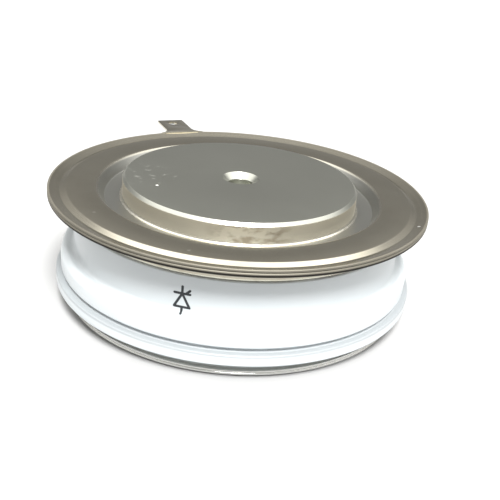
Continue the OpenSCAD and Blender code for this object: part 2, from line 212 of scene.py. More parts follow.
class Finishes(bpy.types.PropertyGroup):
    """Colours of the finishes, and of the painted light and shade"""

    ceramic: colour("Ceramic", "Glazed alumina", "#C3C8CA")
    ceramic_shade: colour("Ceramic shade", "Thin places of the glaze", "#BDC3C6")
    # Painted light: a whiter colour inside the groove, where shade would fall
    groove_light: colour("Pooled glaze", "Whiter glaze in the groove", "#DDE1E3")
    # Painted shade: grey on the lip below the groove, under the upper rib
    lip_shade: colour("Dust film", "Grey dust on the lip below the groove", "#84888A")
    pole_light: colour("Pole light", "Nickel plate on the poles", "#B4B5AD")
    pole_dark: colour("Pole dark", "Clouded nickel plate", "#AAABA2")
    # Painted light: a lighter, warmer copy of the pole plate for the poles' walls
    pole_wall_lit: colour("Pole wall", "Warmer plate on the poles' walls", "#C4BCAC")
    smudge: colour("Smudge", "Fingermarks on the pole's wall", "#7A6E5C")
    # Light dust specks, and the painted glint on the contact face
    speck_and_glint: colour("Speck", "Light specks on the contact face", "#F0F0EA")
    sheet_light: colour("Sheet light", "Nickel plate on the flanges", "#D9D4C4")
    sheet_dark: colour("Sheet dark", "Tarnished nickel plate", "#C8C1AF")
    trough: colour("Trough", "Dull plate in the trough", "#9C9C97")
    # Painted light: a lighter, more neutral plate below the ceramic, as if lit by the floor
    low_plate_lit: colour("Low plate", "Cleaner plate below the ceramic", "#D2D2CE")
    # Painted shade under the rim: on the rim's cut edges, the weld ring's lower edge and the neck's top
    rim_shade: colour("Weld tint", "Dark oxide under the weld seam", "#33312E")
    stain: colour("Stain", "Brown flux stains at the foot of the neck", "#7A6A55")
    braze: colour("Braze", "Silver braze", "#DAD8D0")
    ink: colour("Ink", "Printing ink", "#24272B")
    molybdenum: colour("Molybdenum", "Lapped molybdenum", "#8F9196")
    silicon: colour("Silicon", "Polished silicon", "#55585E")
    rubber: colour("Rubber", "Silicone rubber of the edge seal", "#7A2E22")
    plastic: colour("Plastic", "Insulating plastic", "#E4E1D6")
    contact: colour("Contact", "Silver plate of the gate contact", "#D9D8D2")
    floor: colour("Floor", "Studio floor", "#A2A2A2")
    room: colour("Room", "Walls and ceiling of the room", "#FDFCF9")


class StageSizes(bpy.types.PropertyGroup):
    """Camera, lights and floor"""

    camera_place: FloatVectorProperty(name="Camera", description="Place of the camera",
                                      default=(0.001953, -0.087632, 0.045684), subtype="TRANSLATION", precision=5)
    camera_right: FloatVectorProperty(name="Camera right", description="Right direction of the picture",
                                      default=(0.99580, 0.03813, 0.08328), subtype="DIRECTION", precision=5)
    camera_up: FloatVectorProperty(name="Camera up", description="Up direction of the picture",
                                   default=(-0.09160, 0.41456, 0.90540), subtype="DIRECTION", precision=5)
    focal_px: FloatProperty(name="Focal length", description="Focal length in picture points", default=774.0)
    centre_px: FloatVectorProperty(name="Centre", description="Picture point that the camera's axis meets",
                                   default=(250.8, 246.8), size=2)
    frame_px: FloatProperty(name="Frame", description="Width and height of the picture in points", default=500.0)
    floor_w: length("Floor", "Width of the floor", 2400)
    room_glow: FloatProperty(name="Room glow", description="Brightness of the room straight up", default=2.5)
    right_arch: FloatProperty(name="Right arch", description="How far the bright arch comes down at the right",
                              default=0.48)
    left_arch: FloatProperty(name="Left arch", description="How far the bright arch comes down at the left",
                             default=0.40)
    lamp_spread: turn("Lamp spread", "Width of the front lamp as seen from the capsule", 20)
    lamp_turn: turn("Lamp direction", "Direction of the front lamp", -80)
    lamp_rise: turn("Lamp rise", "Rise of the front lamp", 58)
    lamp_glow: FloatProperty(name="Lamp glow", description="Light of the front lamp on a facing surface", default=6.8)


def put(tree, kind, sockets=None, stops=(), **settings):
    """Adds one node with its settings, its values and its links."""
    made = tree.nodes.new(kind)
    for key, value in settings.items():
        setattr(made, key, value)
    for i, (place, shade) in enumerate(stops):
        ramp = made.color_ramp.elements
        stop = ramp[i] if i < 2 else ramp.new(place)
        stop.position = place
        stop.color = shade
    for key, value in (sockets or {}).items():
        if isinstance(value, bpy.types.NodeSocket):
            tree.links.new(value, made.inputs[key])
        else:
            made.inputs[key].default_value = value
    return made


def per(millimetres):
    """Pattern scale for features of that size."""
    return 1 / (millimetres * MM)


def new_material(name, **sockets):
    """A material with its shader's constant sockets set, what adds its nodes, and its Object coordinates."""
    material = bpy.data.materials.new(name)
    material.use_nodes = True
    shader = material.node_tree.nodes["Principled BSDF"]
    for key, value in sockets.items():
        shader.inputs[key].default_value = value
    add = partial(put, material.node_tree)
    return material, add, add("ShaderNodeTexCoord").outputs["Object"]


def dressed(material, add, tone, gloss, grain, strength, depth):
    """The material with its tone, its gloss and a grain of that depth in millimetres linked to its shader."""
    bump = add("ShaderNodeBump", {"Height": grain, "Strength": strength, "Distance": depth * MM}).outputs[0]
    shader = material.node_tree.nodes["Principled BSDF"]
    for key, socket in (("Base Color", tone), ("Roughness", gloss), ("Normal", bump)):
        material.node_tree.links.new(socket, shader.inputs[key])
    return material


def spots(add, at, places, size):
    """Factor that is 1 within that size around each place and fades out at twice the size."""
    total = 0.0
    for place in places:
        far = add("ShaderNodeVectorMath", {0: at, 1: place}, operation="DISTANCE").outputs["Value"]
        near = add("ShaderNodeMapRange", {"Value": far, "From Min": 2 * size, "From Max": size}).outputs[0]
        total = add("ShaderNodeMath", {0: near, 1: total}, operation="MAXIMUM").outputs[0]
    return total


def radius_of(add, at):
    """Distance from the capsule's axis."""
    flat = add("ShaderNodeVectorMath", {0: at, 1: (1.0, 1.0, 0.0)}, operation="MULTIPLY").outputs[0]
    return add("ShaderNodeVectorMath", {0: flat}, operation="LENGTH").outputs["Value"]


def around(radius, angle, height):
    """Place at that distance and direction from the axis."""
    return radius * math.cos(angle), radius * math.sin(angle), height


def glazed_alumina(s, marks_and_shades, paint):
    """Glazed alumina: dense white body under a thin glaze, so a soft sheen over a slightly wavy skin, with painted
    light inside the groove and painted shade on the lip below it."""
    material, add, at = new_material("glazed_alumina", IOR=1.6)
    clouds = add("ShaderNodeTexNoise", {"Vector": at, "Scale": per(6), "Detail": 3.0}).outputs["Fac"]
    tone = add("ShaderNodeMix", {0: clouds, 6: paint.ceramic, 7: paint.ceramic_shade}, data_type="RGBA").outputs[2]
    height = add("ShaderNodeSeparateXYZ", {0: at}).outputs["Z"]
    lip_z = foot_of("ceramic_ring") + s.lower_rib_h
    # Painted light in the groove: a whiter colour at the groove's height and inside its mouth
    level = add("ShaderNodeMath", {0: height, 1: lip_z + s.groove_h / 2, 2: s.groove_h},
                operation="COMPARE").outputs[0]
    inside = add("ShaderNodeMapRange", {"Value": radius_of(add, at), "From Min": (s.groove_r + s.lower_rib_r) / 2,
                                        "From Max": s.groove_r + s.rib_edge / 4}).outputs[0]
    groove_light = add("ShaderNodeMath", {0: level, 1: inside}, operation="MULTIPLY").outputs[0]
    # Painted shade: the lip below the groove turns grey, full near its edge and fading out
    lip = add("ShaderNodeMath", {0: height, 1: lip_z}, operation="SUBTRACT").outputs[0]
    lip = add("ShaderNodeMath", {0: lip}, operation="ABSOLUTE").outputs[0]
    lip_shade = add("ShaderNodeMapRange", {"Value": lip, "From Min": marks_and_shades.lip_shade_reach, "From Max": marks_and_shades.lip_shade_core,
                                      "To Max": 0.85}).outputs[0]
    tone = add("ShaderNodeMix", {0: lip_shade, 6: tone, 7: paint.lip_shade}, data_type="RGBA").outputs[2]
    tone = add("ShaderNodeMix", {0: groove_light, 6: tone, 7: paint.groove_light}, data_type="RGBA").outputs[2]
    gloss = add("ShaderNodeMapRange", {"Value": clouds, "To Min": 0.28, "To Max": 0.42}).outputs[0]
    skin = add("ShaderNodeTexNoise", {"Vector": at, "Scale": per(0.5), "Detail": 3.0}).outputs["Fac"]
    return dressed(material, add, tone, gloss, skin, strength=0.25, depth=0.01)


def lapped_nickel(s, marks_and_shades, paint):
    """Nickel plate on lapped copper: an even satin face with a few light specks and one painted glint, and a duller
    turned wall with fingermarks, lighter and warmer as painted light."""
    wall_light_share, speck_height = 0.7, 2.0
    face_gloss, wall_dulls, speck_dulls = 0.33, 0.15, 0.35
    material, add, at = new_material("lapped_nickel_on_copper", Metallic=1.0)
    clouds = add("ShaderNodeTexNoise", {"Vector": at, "Scale": per(7), "Detail": 4.0}).outputs["Fac"]
    plate = add("ShaderNodeMix", {0: clouds, 6: paint.pole_dark, 7: paint.pole_light}, data_type="RGBA").outputs[2]
    top = top_of("cathode_pole")
    dusty = spots(add, at, [(marks_and_shades.dust_x, marks_and_shades.dust_y, top)], marks_and_shades.dust_reach)
    dust = add("ShaderNodeTexNoise", {"Vector": at, "Scale": per(0.8), "Detail": 1.0}).outputs["Fac"]
    dust = add("ShaderNodeMapRange", {"Value": dust, "From Min": 0.60, "From Max": 0.72, "To Max": 0.2}).outputs[0]
    dust = add("ShaderNodeMath", {0: dust, 1: dusty}, operation="MULTIPLY").outputs[0]
    # Painted highlight: one bright glint on the contact face, lighter and rougher, with a small bump
    glint = spots(add, at, [(marks_and_shades.glint_x, marks_and_shades.glint_y, top)], marks_and_shades.mark_size)
    speck_and_glint = add("ShaderNodeMath", {0: dust, 1: glint}, operation="MAXIMUM").outputs[0]
    plate = add("ShaderNodeMix", {0: speck_and_glint, 6: plate, 7: paint.speck_and_glint}, data_type="RGBA").outputs[2]
    wall = add("ShaderNodeMapRange", {"Value": radius_of(add, at), "From Min": s.pole_r - s.pole_edge / 8,
                                      "From Max": s.pole_r}).outputs[0]
    # Painted light: the walls take a lighter, warmer copy of the plate
    wall_lit = add("ShaderNodeMath", {0: wall, 1: wall_light_share}, operation="MULTIPLY").outputs[0]
    plate = add("ShaderNodeMix", {0: wall_lit, 6: plate, 7: paint.pole_wall_lit}, data_type="RGBA").outputs[2]
    x, y, z = around(s.pole_r, marks_and_shades.smear_turn, marks_and_shades.smear_z)
    rubbed = add("ShaderNodeMapping", {"Vector": at, "Location": (-x, -y, -marks_and_shades.smear_flat * z),
                                       "Scale": (1.0, 1.0, marks_and_shades.smear_flat)}).outputs[0]
    smear = spots(add, rubbed, [(0.0, 0.0, 0.0)], marks_and_shades.smear_reach)
    fingers = add("ShaderNodeTexNoise", {"Vector": rubbed, "Scale": per(1.8), "Detail": 3.0}).outputs["Fac"]
    fingers = add("ShaderNodeMapRange", {"Value": fingers, "From Min": 0.45, "From Max": 0.62,
                                         "To Max": 0.7}).outputs[0]
    fingers = add("ShaderNodeMath", {0: fingers, 1: smear}, operation="MULTIPLY").outputs[0]
    fingers = add("ShaderNodeMath", {0: fingers, 1: wall}, operation="MULTIPLY").outputs[0]
    plate = add("ShaderNodeMix", {0: fingers, 6: plate, 7: paint.smudge}, data_type="RGBA").outputs[2]
    gloss = add("ShaderNodeMath", {0: wall, 1: wall_dulls, 2: face_gloss}, operation="MULTIPLY_ADD").outputs[0]
    gloss = add("ShaderNodeMath", {0: speck_and_glint, 1: speck_dulls, 2: gloss}, operation="MULTIPLY_ADD").outputs[0]
    grain = add("ShaderNodeTexNoise", {"Vector": at, "Scale": per(0.15), "Detail": 2.0}).outputs["Fac"]
    rough = add("ShaderNodeMath", {0: speck_and_glint, 1: speck_height, 2: grain}, operation="MULTIPLY_ADD").outputs[0]
    return dressed(material, add, plate, gloss, rough, strength=0.3, depth=0.012)


def rolled_nickel(s, marks_and_shades, paint):
    """Nickel plate on pressed sheet: a semi-bright skin with fine rings from spinning, duller in the trough, with
    painted shade on the rim's cut edges, the weld ring's lower edge and the neck's top, painted light on the plate
    below the ceramic, brown stains at the foot of the neck and a few small marks."""
    # Where the painted shade along the weld ring's lower edge starts and is full, as parts of its sheet
    edge_shade_start, edge_shade_full = 0.45, 0.6
    # Strength of the painted shade on the rim's cut edges, and the share of the fainter marks
    rim_shade_share, faint_share = 0.68, 0.3
    trough_dulls, rim_dulls, wear_dulls = 0.22, 0.5, 0.3
    material, add, at = new_material("rolled_nickel_sheet", Metallic=1.0)
    radius = radius_of(add, at)
    height = add("ShaderNodeSeparateXYZ", {0: at}).outputs["Z"]
    rings = add("ShaderNodeTexNoise", {"W": radius, "Scale": per(0.3), "Detail": 3.0},
                noise_dimensions="1D").outputs["Fac"]
    clouds = add("ShaderNodeTexNoise", {"Vector": at, "Scale": per(5), "Detail": 4.0}).outputs["Fac"]
    plate = add("ShaderNodeMix", {0: clouds, 6: paint.sheet_dark, 7: paint.sheet_light}, data_type="RGBA").outputs[2]
    trough = add("ShaderNodeMapRange", {"Value": radius, "From Min": s.pole_r + s.trough_w + s.bend,
                                        "From Max": s.pole_r + s.trough_w - s.bend}).outputs[0]
    plate = add("ShaderNodeMix", {0: trough, 6: plate, 7: paint.trough}, data_type="RGBA").outputs[2]
    # Painted light: the plate below the ceramic is lighter and more neutral
    low = add("ShaderNodeMath", {0: height, 1: foot_of("ceramic_ring")}, operation="LESS_THAN").outputs[0]
    plate = add("ShaderNodeMix", {0: low, 6: plate, 7: paint.low_plate_lit}, data_type="RGBA").outputs[2]
    under_sheet = s.rim_z - s.sheet
    # Painted shade along the weld ring's lower edge, under the rim
    edge_shade = add("ShaderNodeMapRange", {"Value": height, "From Min": under_sheet - s.weld_sheet * edge_shade_start,
                                       "From Max": under_sheet - s.weld_sheet * edge_shade_full}).outputs[0]
    outer = add("ShaderNodeMath", {0: radius, 1: s.rim_r - s.seam_w}, operation="GREATER_THAN").outputs[0]
    edge_shade = add("ShaderNodeMath", {0: edge_shade, 1: outer}, operation="MULTIPLY").outputs[0]
    seat = top_of("ceramic_ring")
    # Painted shade on the top of the neck, under the rim's overhang
    neck = add("ShaderNodeMath", {0: radius, 1: s.neck_r, 2: s.foot_w}, operation="COMPARE").outputs[0]
    neck_shade = add("ShaderNodeMapRange", {"Value": height, "From Min": seat + marks_and_shades.neck_shade_low,
                                      "From Max": seat + marks_and_shades.neck_shade_full, "To Max": 0.7}).outputs[0]
    under = add("ShaderNodeMath", {0: height, 1: under_sheet - s.seam_dip}, operation="LESS_THAN").outputs[0]
    neck_shade = add("ShaderNodeMath", {0: neck_shade, 1: under}, operation="MULTIPLY").outputs[0]
    neck_shade = add("ShaderNodeMath", {0: neck_shade, 1: neck}, operation="MULTIPLY").outputs[0]
    # Painted shade on the rim's cut edges, dimming what they reflect
    rim = add("ShaderNodeMath", {0: radius, 1: s.rim_r, 2: 2 * s.sheet_edge}, operation="COMPARE").outputs[0]
    shaded = add("ShaderNodeMath", {0: rim, 1: rim_shade_share, 2: neck_shade}, operation="MULTIPLY_ADD").outputs[0]
    shaded = add("ShaderNodeMath", {0: shaded, 1: edge_shade}, operation="MAXIMUM").outputs[0]
    plate = add("ShaderNodeMix", {0: shaded, 6: plate, 7: paint.rim_shade}, data_type="RGBA").outputs[2]
    foot = add("ShaderNodeMapRange", {"Value": height, "From Min": seat + marks_and_shades.flux_reach,
                                      "From Max": seat}).outputs[0]
    flux = add("ShaderNodeTexNoise", {"Vector": at, "Scale": per(2.2), "Detail": 3.0}).outputs["Fac"]
    flux = add("ShaderNodeMapRange", {"Value": flux, "From Min": 0.52, "From Max": 0.68}).outputs[0]
    flux = add("ShaderNodeMath", {0: flux, 1: foot}, operation="MULTIPLY").outputs[0]
    upper = add("ShaderNodeMath", {0: height, 1: seat}, operation="GREATER_THAN").outputs[0]
    flux = add("ShaderNodeMath", {0: flux, 1: upper}, operation="MULTIPLY").outputs[0]
    plate = add("ShaderNodeMix", {0: flux, 6: plate, 7: paint.stain}, data_type="RGBA").outputs[2]
    annulus_z = s.rim_z - s.annulus_dip
    nick = spots(add, at, [around(marks_and_shades.dot_r, marks_and_shades.dot_turn, marks_and_shades.dot_z)], marks_and_shades.mark_size)
    marks = [around(marks_and_shades.tick_r, marks_and_shades.tick_turn, annulus_z), around(marks_and_shades.spot_r, marks_and_shades.spot_turn, annulus_z)]
    faint = spots(add, at, marks, marks_and_shades.mark_size)
    faint = add("ShaderNodeMath", {0: faint, 1: faint_share}, operation="MULTIPLY").outputs[0]
    nick = add("ShaderNodeMath", {0: nick, 1: faint}, operation="MAXIMUM").outputs[0]
    plate = add("ShaderNodeMix", {0: nick, 6: plate, 7: paint.speck_and_glint}, data_type="RGBA").outputs[2]
    gloss = add("ShaderNodeMapRange", {"Value": rings, "To Min": 0.11, "To Max": 0.19}).outputs[0]
    gloss = add("ShaderNodeMath", {0: trough, 1: trough_dulls, 2: gloss}, operation="MULTIPLY_ADD").outputs[0]
    gloss = add("ShaderNodeMath", {0: rim, 1: rim_dulls, 2: gloss}, operation="MULTIPLY_ADD").outputs[0]
    worn = add("ShaderNodeMath", {0: flux, 1: nick}, operation="MAXIMUM").outputs[0]
    gloss = add("ShaderNodeMath", {0: worn, 1: wear_dulls, 2: gloss}, operation="MULTIPLY_ADD").outputs[0]
    return dressed(material, add, plate, gloss, rings, strength=0.15, depth=0.01)


def silver_braze(paint):
    """Silver braze: bright solidified metal with small ripples."""
    material, add, at = new_material("silver_braze", Metallic=1.0)
    ripples = add("ShaderNodeTexNoise", {"Vector": at, "Scale": per(0.6), "Detail": 2.0}).outputs["Fac"]
    tone = add("ShaderNodeMix", {0: ripples, 6: paint.sheet_light, 7: paint.braze}, data_type="RGBA").outputs[2]
    gloss = add("ShaderNodeMapRange", {"Value": ripples, "To Min": 0.18, "To Max": 0.32}).outputs[0]
    return dressed(material, add, tone, gloss, ripples, strength=0.5, depth=0.03)


def plain_finish(name, tint, metal, low, high, grain, depth=0.18):
    """A finish of one tint with a fine grain in its tone and its gloss."""
    material, add, at = new_material(name, Metallic=metal)
    noise = add("ShaderNodeTexNoise", {"Vector": at, "Scale": per(grain), "Detail": 3.0}).outputs["Fac"]
    dim = [(1 - depth) * part for part in tint[:3]] + [1.0]
    tone = add("ShaderNodeMix", {0: noise, 6: dim, 7: tint}, data_type="RGBA").outputs[2]
    gloss = add("ShaderNodeMapRange", {"Value": noise, "To Min": low, "To Max": high}).outputs[0]
    return dressed(material, add, tone, gloss, noise, strength=0.2, depth=0.02)


def finish_piece(name, bm, material, nodes=()):
    """Turns a bmesh into a piece of the capsule in place of its solids."""
    bmesh.ops.remove_doubles(bm, verts=bm.verts, dist=JOIN)
    bmesh.ops.recalc_face_normals(bm, faces=bm.faces)
    mesh = bpy.data.meshes.new(name)
    bm.to_mesh(mesh)
    bm.free()
    mesh.shade_smooth()
    mesh.set_sharp_from_angle(angle=SHARP)
    mesh.materials.append(material)
    piece = bpy.data.objects.new(name, mesh)
    bpy.context.scene.collection.objects.link(piece)
    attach(piece, "root")
    if nodes:
        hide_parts(*nodes)


def round_corners(bm, verts, radii, closed=True):
    """Rounds the corners of a chain of vertices, each by its own radius."""
    places = [vert.co.copy() for vert in verts]
    count = len(verts)
    for i, (vert, radius) in enumerate(zip(verts, radii)):
        if radius <= 0 or (not closed and i in (0, count - 1)):
            continue
        before = (places[i] - places[i - 1]).normalized()
        after = (places[(i + 1) % count] - places[i]).normalized()
        angle = before.angle(after)
        segments = max(CORNER_LEAST, round(math.degrees(angle) / CORNER_STEP))
        bmesh.ops.bevel(bm, geom=[vert], offset=radius * math.tan(angle / 2), offset_type="OFFSET",
                        segments=segments, profile=0.5, affect="VERTICES", material=-1)


def turned(corners, steps, closed=True):
    """Turns a half section around the axis; each corner is its radius, height and rounding."""
    bm = bmesh.new()
    verts = [bm.verts.new((r, 0.0, z)) for r, z, _ in corners]
    for a, b in zip(verts, verts[1:]):
        bm.edges.new((a, b))
    if closed:
        bm.edges.new((verts[-1], verts[0]))
    round_corners(bm, verts, [r for _, _, r in corners], closed)
    bmesh.ops.spin(bm, geom=bm.verts[:] + bm.edges[:], cent=(0, 0, 0), axis=(0, 0, 1), dvec=(0, 0, 0),
                   angle=TURN, steps=steps, use_merge=True, use_normal_flip=False, use_duplicate=False)
    return bm


def flat_lug(side, hole_x, hole_r, thick, edge):
    """Flat plate on z = 0 along +X, the same on both sides, with a hole; each corner is its place and rounding."""
    bm = bmesh.new()
    corners = side + [(x, -y, r) for x, y, r in side[::-1]]
    verts = [bm.verts.new((x, y, 0.0)) for x, y, _ in corners]
    for a, b in zip(verts, verts[1:] + verts[:1]):
        bm.edges.new((a, b))
    round_corners(bm, verts, [r for _, _, r in corners])
    bmesh.ops.create_circle(bm, cap_ends=False, radius=hole_r, segments=HOLE_STEPS,
                            matrix=Matrix.Translation((hole_x, 0.0, 0.0)))
    bmesh.ops.triangle_fill(bm, use_beauty=True, edges=bm.edges[:])
    raised = bmesh.ops.extrude_face_region(bm, geom=bm.faces[:])["geom"]
    bmesh.ops.translate(bm, vec=(0.0, 0.0, thick), verts=[v for v in raised if isinstance(v, bmesh.types.BMVert)])
    bmesh.ops.recalc_face_normals(bm, faces=bm.faces)
    level = [e for e in bm.edges if abs(e.verts[0].co.z - e.verts[1].co.z) < edge / 2]
    rims = [e for e in level if e.calc_face_angle(0.0) > RIM_ANGLE]
    bmesh.ops.bevel(bm, geom=rims, offset=edge, offset_type="OFFSET", segments=2, profile=0.5, affect="EDGES",
                    clamp_overlap=True, material=-1)
    return bm


def sheet_section(path, thick, bend, edge):
    """Closed section of a sheet whose upper or outer face follows the path, with its thickness to the left."""
    points = [Vector(p) for p in path]
    ways = [(b - a).normalized() for a, b in zip(points, points[1:])]
    sides = [Vector((-w.y, w.x)) for w in ways]
    face, back = [], []
    for i, point in enumerate(points):
        if i in (0, len(points) - 1):
            way = ways[0] if i == 0 else ways[-1]
            face.append((point.x, point.y, edge))
            back.append((point.x, point.y + thick / way.x, edge))
            continue
        a, b = sides[i - 1], sides[i]
        shift = (a + b) * thick / (1 + a.dot(b))
        left_turn = ways[i - 1].x * ways[i].y - ways[i - 1].y * ways[i].x > 0
        face.append((point.x, point.y, bend + thick if left_turn else bend))
        back.append((point.x + shift.x, point.y + shift.y, bend if left_turn else bend + thick))
    return face + back[::-1]


class CAPSULE_OT_ceramic(bpy.types.Operator):
    """Glazed ring with a smooth wall above and two ribs below"""

    bl_idname = "capsule.ceramic"
    bl_label = "Ceramic ring"

    def execute(self, context):
        s, paint = context.scene.capsule_sizes, context.scene.capsule_finishes
        material = glazed_alumina(s, context.scene.capsule_wear, paint)
        low, high = foot_of("ceramic_ring"), top_of("ceramic_ring")
        groove_z = low + s.lower_rib_h
        rib_z = groove_z + s.groove_h
        rib_top = rib_z + s.upper_rib_h
        bm = turned([
            (s.bore_r, low, s.rib_edge),
            (s.lower_rib_r, low, s.rib_edge),
            (s.lower_rib_r, groove_z, s.rib_edge),
            (s.groove_r, groove_z, s.rib_edge / 2),
            (s.groove_r, rib_z, s.rib_edge / 2),
            (s.upper_rib_r, rib_z, s.rib_edge),
            (s.upper_rib_r, rib_top, s.rib_crown),
            (s.wall_r, rib_top, s.wall_root),
            (s.wall_r, high, s.rib_edge),
            (s.bore_r, high, s.rib_edge),
        ], s.steps)
        finish_piece("ceramic_body", bm, material, ["ceramic_ring"])
        return {"FINISHED"}


class CAPSULE_OT_poles(bpy.types.Operator):
    """Copper poles with their contact faces and centring holes"""

    bl_idname = "capsule.poles"
    bl_label = "Poles"

    def execute(self, context):
        s, paint = context.scene.capsule_sizes, context.scene.capsule_finishes
        material = lapped_nickel(s, context.scene.capsule_wear, paint)
        foot, top = foot_of("cathode_pole"), top_of("cathode_pole")
        seat = s.rim_z - s.annulus_dip - s.trough_dip - s.sheet
        roof = top_of("gate_cup")
        floor = top - s.centring_depth
        bm = turned([
            (0.0, floor, 0.0),
            (s.centring_r, floor, s.fine_edge),
            (s.centring_r, top - s.countersink, 0.0),
            (s.centring_r + s.countersink, top, s.fine_edge),
            (s.pole_r - s.pole_edge, top, s.fine_edge),
            (s.pole_r, top - s.pole_edge, s.fine_edge),
            (s.pole_r, seat, 0.0),
            (s.shoulder_r, seat, s.fine_edge),
            (s.shoulder_r, foot + s.land_h, s.fine_edge),
            (s.land_r, foot + s.land_h, 0.0),
            (s.land_r, foot, s.fine_edge),
            (s.gate_bore_r, foot, s.fine_edge),
            (s.gate_bore_r, roof, 0.0),
            (0.0, roof, 0.0),
        ], s.steps, closed=False)
        finish_piece("cathode_contact", bm, material, ["cathode_pole"])
        seat = s.anode_rise + s.trough_dip + s.sheet
        top = top_of("anode_pole")
        bm = turned([
            (0.0, s.centring_depth, 0.0),
            (s.centring_r, s.centring_depth, s.fine_edge),
            (s.centring_r, s.countersink, 0.0),
            (s.centring_r + s.countersink, 0.0, s.fine_edge),
            (s.pole_r - s.pole_edge, 0.0, s.fine_edge),
            (s.pole_r, s.pole_edge, s.fine_edge),
            (s.pole_r, seat, 0.0),
            (s.shoulder_r, seat, s.fine_edge),
            (s.shoulder_r, top, s.fine_edge),
            (0.0, top, 0.0),
        ], s.steps, closed=False)
        finish_piece("anode_contact", bm, material, ["anode_pole"])
        return {"FINISHED"}


class CAPSULE_OT_flanges(bpy.types.Operator):
    """Pressed flanges and the weld rings that carry them"""

    bl_idname = "capsule.flanges"
    bl_label = "Flanges and weld rings"

    def execute(self, context):
        s, paint = context.scene.capsule_sizes, context.scene.capsule_finishes
        material = rolled_nickel(s, context.scene.capsule_wear, paint)
        annulus_z = s.rim_z - s.annulus_dip
        trough_z = annulus_z - s.trough_dip
        trough_r = s.pole_r + s.trough_w
        inner_r = s.neck_r - s.weld_sheet
        foot_r = s.neck_r - s.foot_w
        bm = turned(sheet_section([
            (s.rim_r, s.rim_z),
            (s.rim_r - s.seam_w, s.rim_z - s.seam_dip),
            (s.rim_r - s.seam_w - s.bead_w, annulus_z),
            (trough_r, annulus_z),
            (trough_r - s.trough_wall, trough_z),
            (s.pole_r, trough_z),
        ], s.sheet, s.bend, s.sheet_edge), s.steps)
        self.add_ear(bm, s)
        finish_piece("cathode_sheet", bm, material, ["cathode_flange"])
        slope = s.seam_dip / s.seam_w
        outer_z = s.rim_z - s.sheet * math.sqrt(1 + slope * slope)
        seat = top_of("ceramic_ring")
        bm = turned(sheet_section([
            (s.rim_r, outer_z),
            (s.rim_r - s.seam_w, outer_z - s.seam_dip),
            (inner_r, outer_z - s.seam_dip),
            (inner_r, seat + s.weld_sheet),
            (foot_r, seat + s.weld_sheet),
        ], s.weld_sheet, s.bend, s.weld_edge), s.steps)
        finish_piece("cathode_neck", bm, material, ["weld_ring"])
        roof = s.anode_rise + s.trough_dip
        bm = turned(sheet_section([
            (s.anode_rim_r, s.anode_rise),
            (trough_r, s.anode_rise),
            (trough_r - s.trough_wall, roof),
            (s.pole_r, roof),
        ], -s.sheet, s.bend + s.sheet, s.sheet_edge), s.steps)
        finish_piece("anode_sheet", bm, material, ["anode_flange"])
        rim_top = s.anode_rise + 2 * s.sheet
        seat = foot_of("ceramic_ring")
        bm = turned(sheet_section([
            (s.anode_rim_r, rim_top),
            (s.neck_r, rim_top),
            (s.neck_r, seat),
            (foot_r, seat),
        ], s.sheet, s.bend, s.sheet_edge), s.steps)
        finish_piece("anode_neck", bm, material, ["anode_ring"])
        return {"FINISHED"}

    def add_ear(self, bm, s):
        """Adds the cathode ear to the flange: a flat lug with a hole and rounded roots at the rim."""
        half = s.ear_w / 2
        wide = half + s.ear_root
        root_x = math.sqrt((s.rim_r + s.ear_root) ** 2 - wide ** 2)
        start_x = math.sqrt((s.rim_r - s.sheet / 2) ** 2 - wide ** 2)
        tip_x = s.rim_r + s.ear_len
        neck_x = root_x - s.ear_root / 2
        side = [(start_x, wide, 0.0), (root_x - s.ear_root, wide, 0.0), (neck_x, half, s.ear_root),
                (tip_x, half, s.ear_corner)]
        ear = flat_lug(side, tip_x - s.ear_hole_inset, s.ear_hole_r, s.sheet, s.fine_edge)
        place = Matrix.Rotation(s.ear_angle, 4, "Z") @ Matrix.Translation((0.0, 0.0, s.rim_z - s.sheet))
        bmesh.ops.transform(ear, matrix=place, verts=ear.verts)
        holder = bpy.data.meshes.new("ear")
        ear.to_mesh(holder)
        ear.free()
        bm.from_mesh(holder)
        bpy.data.meshes.remove(holder)


class CAPSULE_OT_braze(bpy.types.Operator):
    """Braze fillets at the feet of both poles"""

    bl_idname = "capsule.braze"
    bl_label = "Braze fillets"

    def execute(self, context):
        s, paint = context.scene.capsule_sizes, context.scene.capsule_finishes
        material = silver_braze(paint)
        trough_z = s.rim_z - s.annulus_dip - s.trough_dip
        roof = s.anode_rise + s.trough_dip
        for name, node, z, way in (("cathode_fillet", "cathode_braze", trough_z, 1),
                                   ("anode_fillet", "anode_braze", roof, -1)):
            small = s.braze / 5
            bm = turned([
                (s.pole_r, z, 0.0),
                (s.pole_r + s.braze, z, 0.0),
                (s.pole_r + small, z + way * small, s.braze),
                (s.pole_r, z + way * s.braze, 0.0),
            ], s.steps)
            finish_piece(name, bm, material, [node])
        return {"FINISHED"}


